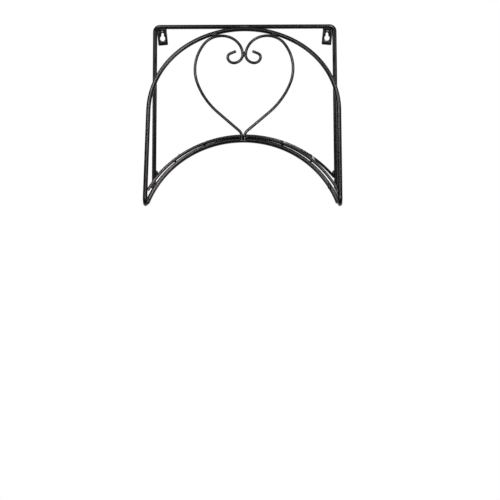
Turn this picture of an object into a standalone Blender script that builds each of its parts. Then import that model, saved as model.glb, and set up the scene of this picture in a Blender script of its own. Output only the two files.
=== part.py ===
"""Wall-mounted hose hanger, bent from round steel wire, welded and painted.

Metres, +Z up. The wall is the plane y = 0 and the hanger stands out from it towards -Y.
The origin lies on the wall, half way between the two keyholes.

The front panel (hoop, heart, front saddle arc and rim) leans: its crown is at the wall and its
corners stand out. Its own coordinates are x, s and depth: s runs up the panel from the line
through both corners, and depth runs square to the panel, towards the wall.
"""

import math

import bmesh
import bpy
from mathutils import Matrix, Vector

# Wires
FRAME_WIRE = 0.0065
HEART_WIRE = 0.0042
ROD_WIRE = 0.0042
SEAM = 0.0003  # clearance between two pieces that touch
FRAME_BEND = 0.0070  # centre line radius of the frame wire's tight bends

# Back frame: top bar and two uprights, which splay a little towards their feet
BAR_HEIGHT = 0.0166  # centre of the top bar above the keyholes
BAR_LENGTH = 0.2645
FOOT_SPREAD = 0.2732
FOOT_DEPTH = 0.2239  # centre of an arm at the wall, below the keyholes

# Front hoop: arm, upright, arch, upright, arm
REACH = 0.1248
ARM_FALL = 0.0150  # how much lower an arm's centre line is at the panel than at the wall
ARM_SETBACK = 0.0005  # an arm's end stops this far from the wall
CORNER_SPREAD = 0.2742
SHOULDER_RADIUS = 0.1267
SHOULDER_TURN = 54.3  # degrees, from the upright to where the crown takes over
CROWN_RADIUS = 0.1448
CROWN_DROP = 0.0038  # the crown is this much lower than the top bar that it is welded to

# Saddle: front arc, a thinner rim above it, a back arc level with the rim, rods between them
FRONT_ARC_HEIGHT = 0.1016  # its top, measured up the panel from the corners
FRONT_ARC_END = 0.0072  # its ends, measured the same way
RIM_DROP = 0.0032  # its centre is this much lower than the front arc's: the gap widens
BACK_ARC_END = 0.0189  # its ends, which butt on the back uprights, above their feet
ROD_ANGLES = (23.0, 41.9)  # places along the rim, in degrees from its top

# Heart: lobe, side, lower straight, foot and curl; each turn is in degrees
LOBE_RADIUS = 0.0312
LOBE_TURN = 145.6
SIDE_RADIUS = 0.0701
SIDE_TURN = 53.9
HEART_STRAIGHT = 0.0417
HEART_FOOT_BEND = 0.0112
HEART_FOOT_RISE = 0.0044
HEART_FOOT_TAIL = 0.0027
CURL_ENTRY_RADIUS = 0.0132
CURL_ENTRY_TURN = 78.7
CURL_RADIUS = 0.0093
CURL_TURN = 101.1
HOOK_RADIUS = 0.0068
HOOK_TURN = 66.4
HOOK_TAIL = 0.0085

# Keyhole tabs
TAB_WIDTH = 0.0144
TAB_THICKNESS = 0.0020
TAB_DROP = 0.0101  # lower edge below the keyhole's centre
TAB_CORNER = 0.0016
TAB_LEAN = 5.0  # degrees; the tab's lower end is turned towards the middle
KEYHOLE_INSET = 0.01065  # from the upright's centre line at the top to the keyhole's centre
KEYHOLE_DIAMETER = 0.0075
SLOT_WIDTH = 0.0036
SLOT_RISE = 0.0080

# Weld beads: half of the length along the joint, and the radius across it
LONG_BEAD = (0.0082, 0.0029)
MIDDLE_BEAD = (0.0050, 0.0026)
SMALL_BEAD = (0.0042, 0.0020)
SPOT_BEAD = (0.0026, 0.0015)
TAB_BEAD = (0.0050, 0.0018)

# Fineness
ARC_STEP = math.radians(5.0)
LONG_ARC_STEP = math.radians(4.0)
BEND_STEP = math.radians(20.0)
FRAME_SIDES = 12
THIN_SIDES = 8
BEAD_SEGMENTS = 12
BEAD_RINGS = 7

FRAME_HALF = FRAME_WIRE / 2
HEART_HALF = HEART_WIRE / 2
ROD_HALF = ROD_WIRE / 2
SIDES = (("left", -1), ("right", 1))
X_AXIS = Vector((1, 0, 0))

PAINT = (0.021, 0.018, 0.021, 1.0)
WELD_PAINT = (0.024, 0.021, 0.024, 1.0)


def arc(centre, radius, start, end, step):
    """Points of an arc in a plane, both ends included, as (across, up) pairs."""
    count = max(1, math.ceil(abs(end - start) / step))
    angles = [start + (end - start) * i / count for i in range(count + 1)]
    return [(centre[0] + radius * math.cos(t), centre[1] + radius * math.sin(t)) for t in angles]


def rounded(before, corner, after, radius, step=BEND_STEP):
    """Points of the bend that rounds a corner of a wire."""
    first = (before - corner).normalized()
    second = (after - corner).normalized()
    half = first.angle(second) / 2
    centre = corner + (first + second).normalized() * radius / math.sin(half)
    start = corner + first * radius / math.tan(half) - centre
    axis = start.cross(first).normalized()
    turn = -(math.pi - 2 * half)
    count = math.ceil(abs(turn) / step)
    return [centre + Matrix.Rotation(turn * i / count, 3, axis) @ start for i in range(count + 1)]


def without_repeats(points):
    """The points with each one that repeats its neighbour left out."""
    kept = [points[0]]
    for point in points[1:]:
        if (point - kept[-1]).length > 1e-6:
            kept.append(point)
    return kept


def mirrored(half_path):
    """A path from the right-hand end to the middle, carried on to the left-hand end."""
    other = [Vector((-p.x, p.y, p.z)) for p in reversed(half_path)]
    return without_repeats(half_path + other)


# Wall side

WALL_LINE = -FRAME_HALF  # centre line of a frame wire that lies on the wall
ARM_WALL = Vector((FOOT_SPREAD / 2, 0, -FOOT_DEPTH))
CORNER = Vector((CORNER_SPREAD / 2, -REACH, -FOOT_DEPTH - ARM_FALL))
BAR_CENTRE = Vector((0, WALL_LINE, BAR_HEIGHT))


# Front panel

CROWN_REACH = math.sqrt((FRAME_WIRE + SEAM) ** 2 - CROWN_DROP**2)
CROWN_TOP = BAR_CENTRE - Vector((0, CROWN_REACH, CROWN_DROP))
PANEL_FOOT = Vector((0, CORNER.y, CORNER.z))
PANEL_LENGTH = (CROWN_TOP - PANEL_FOOT).length
PANEL_UP = (CROWN_TOP - PANEL_FOOT).normalized()
PANEL_IN = PANEL_UP.cross(X_AXIS)
CROWN_CENTRE = (0.0, PANEL_LENGTH - CROWN_RADIUS)
NECK_HALF = HEART_HALF + SEAM / 2


# Saddle arcs, each through its top and its two ends

def arc_radius(half_width, rise):
    return (half_width**2 + rise**2) / (2 * rise)


FRONT_ARC_HALF = CORNER.x - FRAME_HALF  # its ends reach the inner side of the hoop's wire
FRONT_ARC_RADIUS = arc_radius(FRONT_ARC_HALF, FRONT_ARC_HEIGHT - FRONT_ARC_END)
FRONT_ARC_CENTRE = (0.0, FRONT_ARC_HEIGHT - FRONT_ARC_RADIUS)
FRONT_ARC_SETBACK = HEART_HALF + FRAME_HALF + SEAM
RIM_RADIUS = FRONT_ARC_RADIUS + FRAME_HALF + ROD_HALF + SEAM + RIM_DROP
RIM_CENTRE = (0.0, FRONT_ARC_CENTRE[1] - RIM_DROP)
RIM_SETBACK = HEART_HALF + ROD_HALF + SEAM
KEYHOLE_X = BAR_LENGTH / 2 - KEYHOLE_INSET


def on_panel(x, s, depth=0.0):
    """A point of the front panel in world coordinates."""
    return PANEL_FOOT + X_AXIS * x + PANEL_UP * s + PANEL_IN * depth


def on_rim(angle):
    """A point of the rim's centre line, by its angle from the top."""
    x = RIM_RADIUS * math.sin(angle)
    s = RIM_CENTRE[1] + RIM_RADIUS * math.cos(angle)
    return on_panel(x, s, RIM_SETBACK)


SPLAY = (FOOT_SPREAD - BAR_LENGTH) / 2 / (FOOT_DEPTH + BAR_HEIGHT)
BACK_ARC_HALF = FOOT_SPREAD / 2 - SPLAY * BACK_ARC_END - FRAME_HALF
BACK_ARC_RISE = on_rim(0).z + FOOT_DEPTH - BACK_ARC_END
BACK_ARC_RADIUS = arc_radius(BACK_ARC_HALF, BACK_ARC_RISE)
BACK_ARC_CENTRE = (0.0, on_rim(0).z - BACK_ARC_RADIUS)


def on_back_arc(x):
    """A point of the back arc's centre line, by its distance from the middle."""
    z = BACK_ARC_CENTRE[1] + math.sqrt(BACK_ARC_RADIUS**2 - x**2)
    return Vector((x, WALL_LINE, z))


def back_frame_path():
    top = Vector((BAR_LENGTH / 2, WALL_LINE, BAR_HEIGHT))
    wall_end = ARM_WALL + Vector((0, WALL_LINE, FRAME_HALF + SEAM))
    slope = ARM_FALL / REACH
    foot = wall_end + Vector((0, 0, FRAME_HALF * slope))
    bend = rounded(foot, top, BAR_CENTRE, FRAME_BEND)
    return mirrored([foot] + bend)


def hoop_half_path():
    """Right arm from the wall, corner bend, upright, shoulder and crown up to the middle."""
    arm = (CORNER - ARM_WALL).normalized()
    wall_end = ARM_WALL + arm * ARM_SETBACK / abs(arm.y)
    lean = math.radians(SHOULDER_TURN)
    shoulder_x = (CROWN_RADIUS - SHOULDER_RADIUS) * math.cos(lean)
    shoulder_s = CROWN_CENTRE[1] + (CROWN_RADIUS - SHOULDER_RADIUS) * math.sin(lean)
    shoulder = arc((shoulder_x, shoulder_s), SHOULDER_RADIUS, 0, lean, LONG_ARC_STEP)
    crown = arc(CROWN_CENTRE, CROWN_RADIUS, lean, math.pi / 2, LONG_ARC_STEP)
    arch = [on_panel(x, s) for x, s in shoulder + crown]
    bend = rounded(wall_end, CORNER, arch[0], FRAME_BEND)
    return [wall_end] + bend + arch


def front_arc_path():
    low = math.atan2(FRONT_ARC_END - FRONT_ARC_CENTRE[1], FRONT_ARC_HALF)
    half = arc(FRONT_ARC_CENTRE, FRONT_ARC_RADIUS, low, math.pi / 2, ARC_STEP)
    return mirrored([on_panel(x, s, FRONT_ARC_SETBACK) for x, s in half])


def rim_path():
    low = math.acos(FRONT_ARC_HALF / RIM_RADIUS)
    half = arc(RIM_CENTRE, RIM_RADIUS, low, math.pi / 2, ARC_STEP)
    return mirrored([on_panel(x, s, RIM_SETBACK) for x, s in half])


def back_arc_path():
    low = math.acos(BACK_ARC_HALF / BACK_ARC_RADIUS)
    half = arc(BACK_ARC_CENTRE, BACK_ARC_RADIUS, low, math.pi / 2, ARC_STEP)
    return mirrored([Vector((x, WALL_LINE, z)) for x, z in half])


def lobe_centre():
    """Centre of the heart's lobe, which touches the arch from below and its twin at the neck."""
    x = NECK_HALF + LOBE_RADIUS
    inner = CROWN_RADIUS - FRAME_HALF - SEAM - HEART_HALF - LOBE_RADIUS
    return x, CROWN_CENTRE[1] + math.sqrt(inner**2 - x**2)


def heart_path(side):
    """One heart wire from its foot on the front arc, round the side and lobe, to the curl's tip."""
    foot_centre = Vector((NECK_HALF + HEART_FOOT_BEND, FRONT_ARC_HEIGHT + HEART_FOOT_RISE))
    foot_s = FRONT_ARC_HEIGHT - HEART_FOOT_TAIL

    lobe = Vector(lobe_centre())
    join = math.pi - math.radians(LOBE_TURN)
    inward = Vector((math.cos(join), math.sin(join)))
    side_centre = lobe - inward * (SIDE_RADIUS - LOBE_RADIUS)

    # The lower arc carries on from the side, with the radius at which a straight of the named
    # length then leads into the foot's bend.
    leave = join - math.radians(SIDE_TURN)
    outward = Vector((math.cos(leave), math.sin(leave)))
    side_end = side_centre + outward * SIDE_RADIUS
    across = side_end - foot_centre
    spare = across.length_squared - HEART_FOOT_BEND**2 - HEART_STRAIGHT**2
    lower_radius = spare / (2 * (outward.dot(across) + HEART_FOOT_BEND))
    lower_centre = side_end - outward * lower_radius
    down = foot_centre - lower_centre
    normal = math.atan2(down.y, down.x)
    normal += math.acos((lower_radius + HEART_FOOT_BEND) / down.length)

    entry_centre = (NECK_HALF + CURL_ENTRY_RADIUS, lobe[1])
    entry_end = math.pi + math.radians(CURL_ENTRY_TURN)
    curl_centre = (
        entry_centre[0] + (CURL_ENTRY_RADIUS - CURL_RADIUS) * math.cos(entry_end),
        entry_centre[1] + (CURL_ENTRY_RADIUS - CURL_RADIUS) * math.sin(entry_end),
    )
    curl_end = entry_end + math.radians(CURL_TURN)
    hook_centre = (
        curl_centre[0] + (CURL_RADIUS - HOOK_RADIUS) * math.cos(curl_end),
        curl_centre[1] + (CURL_RADIUS - HOOK_RADIUS) * math.sin(curl_end),
    )
    hook_end = curl_end + math.radians(HOOK_TURN)

    points = [(NECK_HALF, foot_s)]
    points += arc(foot_centre, HEART_FOOT_BEND, math.pi, math.pi + normal, BEND_STEP)
    points += arc(lower_centre, lower_radius, normal, leave, LONG_ARC_STEP)
    points += arc(side_centre, SIDE_RADIUS, leave, join, LONG_ARC_STEP * 2)
    points += arc(lobe, LOBE_RADIUS, join, math.pi, LONG_ARC_STEP * 3)
    points += arc(entry_centre, CURL_ENTRY_RADIUS, math.pi, entry_end, BEND_STEP)
    points += arc(curl_centre, CURL_RADIUS, entry_end, curl_end, BEND_STEP)
    points += arc(hook_centre, HOOK_RADIUS, curl_end, hook_end, BEND_STEP)
    tip = points[-1]
    points += [(tip[0] - HOOK_TAIL * math.sin(hook_end), tip[1] + HOOK_TAIL * math.cos(hook_end))]
    return without_repeats([on_panel(side * x, s) for x, s in points])


def rod_path(angle):
    """A rod from the front of the back arc to the back of the rim, cut to fit at both ends."""
    front = on_rim(angle)
    return [on_back_arc(front.x), front]


# Objects

def new_collection(name):
    collection = bpy.data.collections.new(name)
    bpy.context.scene.collection.children.link(collection)
    return collection


def material(name, colour, roughness, metallic):
    made = bpy.data.materials.new(name)
    made.use_nodes = True
    shader = made.node_tree.nodes["Principled BSDF"]
    shader.inputs["Base Color"].default_value = colour
    shader.inputs["Roughness"].default_value = roughness
    shader.inputs["Metallic"].default_value = metallic
    return made


def wire_mesh(name, path, radius, sides):
    """A closed tube along the path, as a mesh."""
    curve = bpy.data.curves.new(name, "CURVE")
    curve.dimensions = "3D"
    curve.bevel_depth = radius
    curve.bevel_resolution = (sides - 4) // 2
    curve.use_fill_caps = True
    spline = curve.splines.new("POLY")
    spline.points.add(len(path) - 1)
    for point, place in zip(spline.points, path):
        point.co = (*place, 1.0)
    return mesh_from(curve)


def plate_mesh(name, outlines, thickness):
    """A flat plate from closed outlines, each a list of (x, y) pairs; the inner ones are holes."""
    curve = bpy.data.curves.new(name, "CURVE")
    curve.dimensions = "2D"
    curve.fill_mode = "BOTH"
    curve.extrude = thickness / 2
    for outline in outlines:
        spline = curve.splines.new("POLY")
        spline.points.add(len(outline) - 1)
        for point, place in zip(spline.points, outline):
            point.co = (*place, 0.0, 1.0)
        spline.use_cyclic_u = True
    return mesh_from(curve)


def mesh_from(curve):
    """The evaluated mesh of a curve, its caps welded and its faces pointing out."""
    holder = bpy.data.objects.new(curve.name, curve)
    bpy.context.scene.collection.objects.link(holder)
    graph = bpy.context.evaluated_depsgraph_get()
    mesh = bpy.data.meshes.new_from_object(holder.evaluated_get(graph))
    bpy.data.objects.remove(holder)
    work = bmesh.new()
    work.from_mesh(mesh)
    bmesh.ops.remove_doubles(work, verts=work.verts, dist=1e-6)
    bmesh.ops.recalc_face_normals(work, faces=work.faces)
    work.to_mesh(mesh)
    work.free()
    return mesh


def smooth(mesh):
    mesh.shade_smooth()
    mesh.set_sharp_from_angle(angle=math.radians(35))


def add(name, mesh, colour=PAINT, roughness=0.4):
    smooth(mesh)
    mesh.materials.clear()
    mesh.materials.append(material(name + "_paint", colour, roughness, 0.0))
    made = bpy.data.objects.new(name, mesh)
    PARTS.objects.link(made)
    return made


def add_cutter(name, mesh):
    made = bpy.data.objects.new(name, mesh)
    made.hide_render = True
    made.display_type = "WIRE"
    CUTTERS.objects.link(made)
    return made


def add_wire(name, path, radius, sides):
    """A wire and its cutter, one seam thicker and longer, which keeps other pieces clear of it."""
    made = add(name, wire_mesh(name, path, radius, sides))
    longer = list(path)
    longer[0] = path[0] + (path[0] - path[1]).normalized() * SEAM
    longer[-1] = path[-1] + (path[-1] - path[-2]).normalized() * SEAM
    cutter_mesh = wire_mesh("clear_of_" + name, longer, radius + SEAM, sides)
    CLEAR[name] = add_cutter("clear_of_" + name, cutter_mesh)
    return made


def cut(piece, *neighbours):
    """Cuts the piece so that it stays one seam clear of these neighbours."""
    for name in neighbours:
        boolean = piece.modifiers.new("clear of " + name, "BOOLEAN")
        boolean.operation = "DIFFERENCE"
        boolean.solver = "EXACT"
        boolean.object = CLEAR[name]


def add_bead(name, size, centre, along, across, *neighbours):
    """A weld bead: a drop along the joint, cut clear of the pieces that it joins."""
    long_half, radius = size
    along = along.normalized()
    side = (across - along * across.dot(along)).normalized()
    third = along.cross(side)
    turn = Matrix((along, side, third)).transposed().to_4x4()
    shape = Matrix.Diagonal((long_half, radius, radius, 1))
    work = bmesh.new()
    bmesh.ops.create_uvsphere(work, u_segments=BEAD_SEGMENTS, v_segments=BEAD_RINGS, radius=1)
    bmesh.ops.rotate(work, verts=work.verts, matrix=Matrix.Rotation(math.pi / 2, 3, "Y"))
    bmesh.ops.transform(work, verts=work.verts, matrix=Matrix.Translation(centre) @ turn @ shape)
    mesh = bpy.data.meshes.new(name)
    work.to_mesh(mesh)
    work.free()
    bead = add(name, mesh, WELD_PAINT, 0.5)
    cut(bead, *neighbours)
    return bead


# Pieces

def build_frames():
    add_wire("back_frame", back_frame_path(), FRAME_HALF, FRAME_SIDES)
    add_wire("front_hoop", mirrored(hoop_half_path()), FRAME_HALF, FRAME_SIDES)


def build_saddle():
    front = add_wire("front_saddle_arc", front_arc_path(), FRAME_HALF, FRAME_SIDES)
    cut(front, "front_hoop")
    rim = add_wire("front_saddle_rim", rim_path(), ROD_HALF, THIN_SIDES)
    cut(rim, "front_hoop")
    back = add_wire("back_saddle_arc", back_arc_path(), ROD_HALF, THIN_SIDES)
    cut(back, "back_frame")


def rods():
    """Name, side and angle of each cross rod."""
    for side_name, side in SIDES:
        for place, angle in zip(("inner", "outer"), ROD_ANGLES):
            yield f"{side_name}_{place}", side, side * math.radians(angle)


def build_rods():
    for label, _, angle in rods():
        rod = add_wire("cross_rod_" + label, rod_path(angle), ROD_HALF, THIN_SIDES)
        cut(rod, "front_saddle_rim", "back_saddle_arc")


def build_heart():
    for side_name, side in SIDES:
        add_wire("heart_wire_" + side_name, heart_path(side), HEART_HALF, THIN_SIDES)


def tab_outline(side):
    """Lower corners rounded; the top is tucked behind the bar, where it is cut clear."""
    half = TAB_WIDTH / 2 - TAB_CORNER
    low = TAB_CORNER - TAB_DROP
    outline = arc((-half, low), TAB_CORNER, math.pi, math.pi * 1.5, BEND_STEP)
    outline += arc((half, low), TAB_CORNER, math.pi * 1.5, math.pi * 2, BEND_STEP)
    lean = Matrix.Rotation(math.radians(-side * TAB_LEAN), 2)
    leaning = [lean @ Vector(point) for point in outline]
    up = lean @ Vector((0, 1))
    top = BAR_HEIGHT - FRAME_HALF / 2
    left, right = (
        corner + up * (top - corner.y) / up.y for corner in (leaning[0], leaning[-1])
    )
    return [left] + leaning + [right]


def keyhole_outline():
    """A round hole for the screw's head with a slot above it for the shank."""
    head = KEYHOLE_DIAMETER / 2
    shank = SLOT_WIDTH / 2
    mouth = math.acos(shank / head)
    outline = arc((0, 0), head, math.pi - mouth, 2 * math.pi + mouth, math.radians(18))
    return outline + arc((0, SLOT_RISE - shank), shank, 0, math.pi, math.radians(30))


def build_tabs():
    for side_name, side in SIDES:
        name = "keyhole_tab_" + side_name
        outline = tab_outline(side)
        mesh = plate_mesh(name, [outline, keyhole_outline()], TAB_THICKNESS)
        place = Vector((side * KEYHOLE_X, -TAB_THICKNESS / 2, 0))
        upright = Matrix.Rotation(math.pi / 2, 4, "X")
        mesh.transform(Matrix.Translation(place) @ upright)
        tab = add(name, mesh)
        cut(tab, "back_frame")

        blank = plate_mesh("clear_of_" + name, [outline], TAB_THICKNESS + 2 * SEAM)
        blank.transform(Matrix.Translation(place) @ upright)
        CLEAR[name] = add_cutter("clear_of_" + name, blank)


def build_top_welds():
    """Crown to top bar, lobes to arch, heart neck and tabs to top bar."""
    middle = (BAR_CENTRE + CROWN_TOP) / 2
    outward = X_AXIS.cross(CROWN_TOP - BAR_CENTRE).normalized()
    if outward.z < 0:
        outward.negate()
    place = middle + outward * LONG_BEAD[1]
    add_bead("weld_crown", LONG_BEAD, place, X_AXIS, outward, "back_frame", "front_hoop")

    lobe = lobe_centre()
    turn = math.atan2(lobe[0], lobe[1] - CROWN_CENTRE[1])
    reach = CROWN_RADIUS - FRAME_HALF - SEAM / 2
    for side_name, side in SIDES:
        x = side * reach * math.sin(turn)
        s = CROWN_CENTRE[1] + reach * math.cos(turn)
        place = on_panel(x, s, -SMALL_BEAD[1] * 1.05)
        along = X_AXIS * math.cos(turn) - PANEL_UP * side * math.sin(turn)
        heart = "heart_wire_" + side_name
        add_bead("weld_lobe_" + side_name, SMALL_BEAD, place, along, PANEL_IN, "front_hoop", heart)

        tab = "keyhole_tab_" + side_name
        place = Vector((side * KEYHOLE_X, WALL_LINE, BAR_HEIGHT - FRAME_HALF - SEAM))
        add_bead("weld_tab_" + side_name, TAB_BEAD, place, X_AXIS, PANEL_UP, "back_frame", tab)

    place = on_panel(0, lobe[1], -SMALL_BEAD[1] * 1.05)
    hearts = ("heart_wire_left", "heart_wire_right")
    add_bead("weld_heart_neck", SMALL_BEAD, place, PANEL_UP, PANEL_IN, *hearts)


def build_saddle_welds():
    """Heart feet, corners, rim ends, feet of the back frame and rod ends."""
    for side_name, side in SIDES:
        outer = NECK_HALF + HEART_HALF + SPOT_BEAD[1] * 0.5
        between = FRONT_ARC_HEIGHT + FRAME_HALF
        place = on_panel(side * outer, between, RIM_SETBACK - ROD_HALF)
        heart = "heart_wire_" + side_name
        neighbours = ("front_saddle_arc", "front_saddle_rim", heart)
        add_bead("weld_heart_foot_" + side_name, SPOT_BEAD, place, PANEL_UP, X_AXIS, *neighbours)

        end = front_arc_path()[0 if side > 0 else -1]
        upright = on_panel(side * CORNER.x, FRONT_ARC_END)
        between = (end + upright) / 2
        inward = (upright - end).cross(PANEL_UP * side).normalized()
        place = between + inward * MIDDLE_BEAD[1] * 1.05
        neighbours = ("front_hoop", "front_saddle_arc")
        add_bead("weld_corner_" + side_name, MIDDLE_BEAD, place, PANEL_UP, X_AXIS, *neighbours)

        end = rim_path()[0 if side > 0 else -1]
        upright = end + X_AXIS * side * FRAME_HALF - PANEL_IN * RIM_SETBACK
        between = (end + upright) / 2
        outward = (PANEL_UP * side).cross(upright - end).normalized()
        place = between + outward * SMALL_BEAD[1] * 1.05
        neighbours = ("front_hoop", "front_saddle_rim")
        add_bead("weld_rim_" + side_name, SMALL_BEAD, place, PANEL_UP, X_AXIS, *neighbours)

        foot = Vector((side * ARM_WALL.x, WALL_LINE, ARM_WALL.z + FRAME_HALF))
        place = foot + Vector((0, -FRAME_HALF, 0))
        neighbours = ("front_hoop", "back_frame")
        add_bead("weld_foot_" + side_name, SMALL_BEAD, place, X_AXIS, PANEL_UP, *neighbours)

        end = back_arc_path()[0 if side > 0 else -1]
        low = math.acos(BACK_ARC_HALF / BACK_ARC_RADIUS)
        inward = SMALL_BEAD[1] * 0.4
        above = (ROD_HALF + inward + inward * math.cos(low)) / math.sin(low)
        place = end + Vector((-side * inward, 0, above))
        neighbours = ("back_frame", "back_saddle_arc")
        along = Vector((0, 0, 1))
        add_bead("weld_back_arc_" + side_name, SMALL_BEAD, place, along, X_AXIS, *neighbours)

    for label, side, angle in rods():
        rod = "cross_rod_" + label
        aside = -X_AXIS * side * (ROD_HALF + SMALL_BEAD[1] * 0.5)
        rise = Vector((0, 0, -math.tan(angle) * aside.x))
        along = Vector((0, 1, 0))
        front = on_rim(angle)
        place = front + aside + rise - Vector((0, 0, ROD_HALF)) + along * SMALL_BEAD[0]
        neighbours = (rod, "front_saddle_rim", "front_saddle_arc")
        add_bead("weld_front_" + label, SMALL_BEAD, place, along, X_AXIS, *neighbours)
        place = on_back_arc(front.x) + aside + rise - along * SMALL_BEAD[0]
        neighbours = (rod, "back_saddle_arc")
        add_bead("weld_back_" + label, SMALL_BEAD, place, along, X_AXIS, *neighbours)


for old in list(bpy.data.objects):
    bpy.data.objects.remove(old)

PARTS = new_collection("hose_hanger")
CUTTERS = new_collection("cutters")
CLEAR = {}

build_frames()
build_saddle()
build_rods()
build_heart()
build_tabs()
build_top_welds()
build_saddle_welds()
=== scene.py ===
"""Finish of a wall-mounted hose hanger: bent round wire, welded and painted satin black.

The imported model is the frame. Each wire is bent again here with a rounder section, and each weld
is laid as a rippled bead. Metres, +Z up, the wall is y = 0 and the hanger stands out towards -Y.
"""

import math

import bmesh
import bpy
from mathutils import Matrix, Vector


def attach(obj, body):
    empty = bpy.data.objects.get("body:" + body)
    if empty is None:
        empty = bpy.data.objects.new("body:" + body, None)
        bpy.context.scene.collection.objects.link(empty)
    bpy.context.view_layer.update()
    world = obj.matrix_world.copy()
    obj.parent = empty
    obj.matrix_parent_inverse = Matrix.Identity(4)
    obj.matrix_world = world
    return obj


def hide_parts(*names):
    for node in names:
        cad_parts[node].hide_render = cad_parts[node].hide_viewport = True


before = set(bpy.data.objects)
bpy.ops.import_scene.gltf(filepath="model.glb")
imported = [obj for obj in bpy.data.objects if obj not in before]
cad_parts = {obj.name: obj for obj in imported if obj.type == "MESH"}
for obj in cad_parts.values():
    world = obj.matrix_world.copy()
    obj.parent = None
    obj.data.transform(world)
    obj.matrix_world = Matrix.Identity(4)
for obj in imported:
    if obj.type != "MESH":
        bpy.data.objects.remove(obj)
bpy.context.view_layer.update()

# Wires
FRAME_HALF = 0.00325
HEART_HALF = 0.0021
ROD_HALF = 0.0021
SEAM = 0.0003  # clearance between two pieces that touch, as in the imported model
FRAME_BEND = 0.0070  # centre line radius of the frame wire's tight bends
BUTT = 0.0008  # a wire's end is melted this far into the wire that it meets
HOOP_CHAMFER = 0.0004
HEART_CHAMFER = 0.0003

# Back frame
BAR_HEIGHT = 0.0166  # centre of the top bar above the keyholes
BAR_LENGTH = 0.2645
FOOT_SPREAD = 0.2732
FOOT_DEPTH = 0.2239  # centre of an arm at the wall, below the keyholes
WALL_LINE = -FRAME_HALF

# Front hoop
REACH = 0.1248
ARM_FALL = 0.0150  # how much lower an arm's centre line is at the panel than at the wall
ARM_SETBACK = 0.0005  # an arm's end stops this far from the wall
CORNER_SPREAD = 0.2742
SHOULDER_RADIUS = 0.1267
SHOULDER_TURN = math.radians(54.3)
CROWN_RADIUS = 0.1448
CROWN_DROP = 0.0038  # the crown is this much lower than the top bar

# Saddle
FRONT_ARC_HEIGHT = 0.1016  # its top, measured up the panel from the corners
FRONT_ARC_END = 0.0072  # its ends, measured the same way
RIM_SINK = 0.0004  # the rim is welded down by this much, so no seam shows at its top
RIM_DROP = 0.0032  # its centre is this much lower than the front arc's: the gap widens
BACK_ARC_END = 0.0189  # its ends, above the feet of the back uprights
ROD_ANGLES = (23.0, 41.9)  # places along the rim, in degrees from its top

# Heart
LOBE_RADIUS = 0.0312
LOBE_TURN = math.radians(145.6)
SIDE_RADIUS = 0.0701
SIDE_TURN = math.radians(53.9)
HEART_STRAIGHT = 0.0417
HEART_FOOT_BEND = 0.0112
HEART_FOOT_RISE = 0.0044
HEART_FOOT_TAIL = 0.0027
CURL = ((0.0132, 78.7), (0.0093, 101.1), (0.0068, 66.4))  # radius and turn, in degrees
HOOK_TAIL = 0.0085

# Keyhole tabs
TAB_WIDTH = 0.0144
TAB_THICKNESS = 0.0020
TAB_DROP = 0.0101  # lower edge below the keyhole's centre
TAB_CORNER = 0.0016
TAB_EDGE = 0.00022
TAB_LEAN = 5.0  # degrees; the tab's lower end is turned towards the middle
TAB_SPARE = 0.002  # spare height, which is trimmed level once the tab leans
KEYHOLE_X = 0.1216
KEYHOLE_HALF = 0.00375
SLOT_HALF = 0.0018
SLOT_RISE = 0.0080

# Weld beads: half length, radius and number of pools
LONG_BEAD = (0.0082, 0.0024, 5)
MIDDLE_BEAD = (0.0052, 0.0027, 3)
SMALL_BEAD = (0.0044, 0.0021, 3)
SPOT_BEAD = (0.0027, 0.0015, 2)
TAB_BEAD = (0.0052, 0.0018, 4)
POOL_RISE = 0.09  # a pool's swell, as a share of the bead's radius
POOL_DIP = 0.05  # how far the dents between pools lie under that radius
CROWN_BEAD_LIFT = 0.75  # how far a bead's centre stands out of its joint, in radii
HEART_FOOT_BEAD_LIFT = 0.5
BACK_ARC_BEAD_LIFT = 0.4
ROD_BEAD_LIFT = 0.5

# Roundness: sides of a section, and the degrees or the number of steps of a bend
WIRE_SIDES = 28
SLIM_SIDES = 24
BEAD_SIDES = 20
RINGS_PER_POOL = 9
TIGHT_STEP = 10.0
FOOT_STEP = 8.0
CURL_STEP = 7.0
LOBE_STEP = 4.0
PLAIN_STEP = 3.0
HOOP_STEP = 2.5
ARC_STEP = 2.0
KEYHOLE_STEPS = 30
SLOT_STEPS = 12
TAB_CORNER_STEPS = 6
EDGE_STEPS = 2
SHARP_ANGLE = 60  # edges between faces past this angle, in degrees, are drawn sharp
TAB_SHARP_ANGLE = 35
TINY = 1e-6  # metres: anything shorter counts as nothing
TAB_TINY = 1e-5  # the same for the tab's outline

# Finish: noise scales per metre, strength and depth of each bump, and the coat's shine
PEBBLES = 2400.0
SWELL = 260.0
CLOUDS = 45.0
SPECKS = 2600.0
RAGS = 1500.0
STAINS = 1100.0
SCALES = 700.0
LUMPS = 420.0
NOISE_SPAN = (0.3, 0.7)  # where most of a noise's values lie
PEBBLE_SHARE = 0.6
SWELL_SHARE = 0.4
CLOUD_SHARE = 0.6
SPECK_SHARE = 0.4
COAT_BUMP = (0.006, 0.0001)
WELD_BUMP = (0.3, 0.0003)
PEEL_ON_WELDS = 0.3
SPECULAR = 0.45
SHINE_TINT = (1.0, 0.93, 1.0, 1)
BARE_DARK = (0.34, 0.30, 0.27, 1)
BARE_LIGHT = (0.62, 0.60, 0.59, 1)
BARE_ROUGHNESS = 0.62
STAIN_SPAN = (0.35, 0.6)

# Bare spots: how ragged they are, where they fade out, and the centre and half size of each
RAGGED_SPAN = (0.2, 0.8)
RAGGED = 0.45  # how far the edge wanders, as a share of the half size
SPOT_FADE = (0.75, 1.05)  # shares of the half size
SPOTS = {
    "left": [((-0.1223, 0, 0.0103), (0.0017, 1.0, 0.0010))],
    "right": [
        ((0.1215, 0, 0.0103), (0.0011, 1.0, 0.0009)),
        ((0.1236, 0, 0.0105), (0.0009, 1.0, 0.0008)),
    ],
}

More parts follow.
